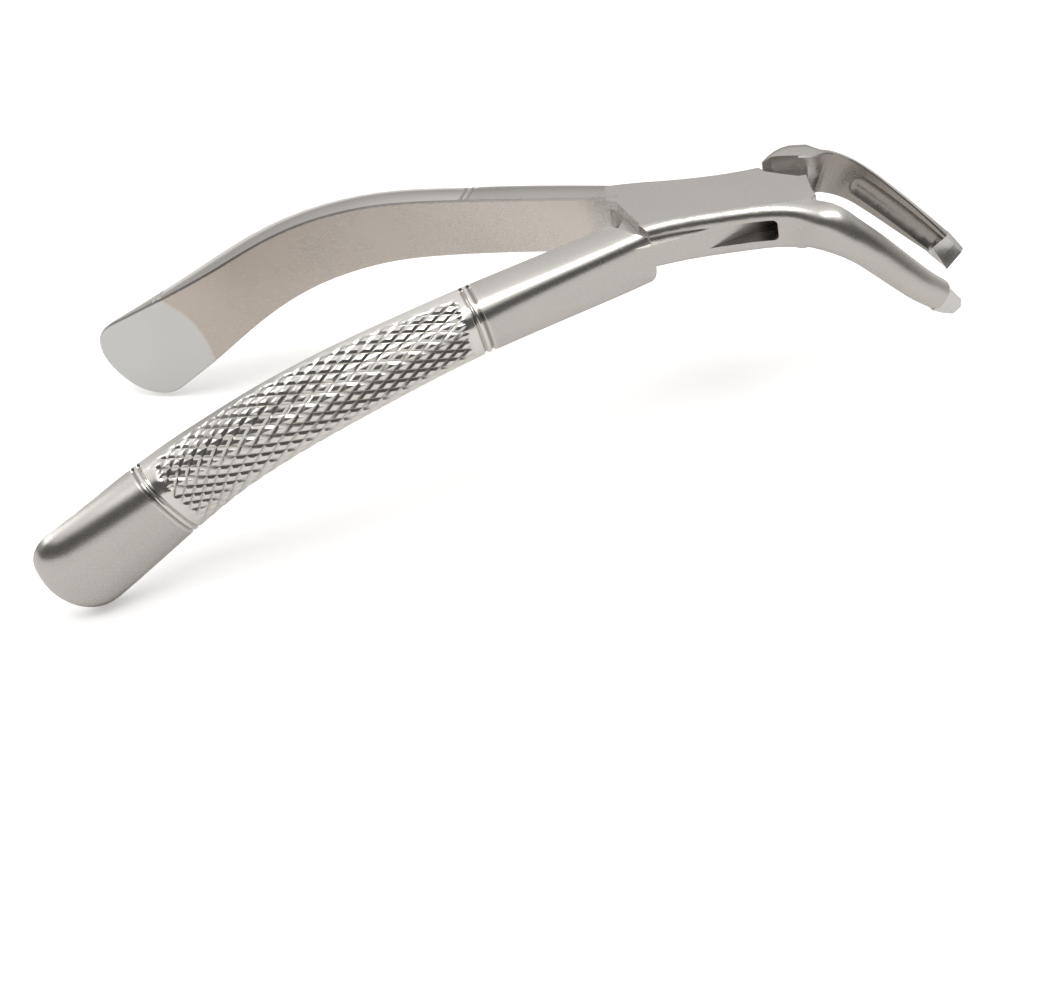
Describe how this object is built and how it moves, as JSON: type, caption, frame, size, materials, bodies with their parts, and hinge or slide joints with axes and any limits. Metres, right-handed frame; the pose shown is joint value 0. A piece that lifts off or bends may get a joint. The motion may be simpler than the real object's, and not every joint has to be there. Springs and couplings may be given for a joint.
{
  "type": "extraction forceps",
  "caption": "Lower tooth extraction forceps: two forged halves on a box joint, with cross-cut grip handles and downturned beaks that end in inward claw tips.",
  "frame": {"origin": "on the pivot axis, at the flat underside of the joint", "axes": "+X along the joint towards the beaks, +Y towards the box half's handle, +Z along the pivot axis, up and away from the side the beaks turn down to"},
  "size_m": [0.1699, 0.0682, 0.0482],
  "materials": {
    "box_half_steel": "satin, glass-bead blasted",
    "tongue_half_steel": "satin, cross-cut grip",
    "rivet_steel": "satin, ground flush",
    "claw_steel": "satin, sharp ground"
  },
  "bodies": {
    "box_side": {"box_half": "box_half_steel", "pivot_rivet": "rivet_steel", "box_half_claw": "claw_steel"},
    "tongue_side": {"tongue_half": "tongue_half_steel", "tongue_half_claw": "claw_steel"}
  },
  "joints": [
    {"name": "pivot", "type": "hinge", "parent": "box_side", "child": "tongue_side", "pos_m": [0, 0, 0.0043], "axis": [0, 0, 1], "range_deg": [-12, 15]}
  ]
}
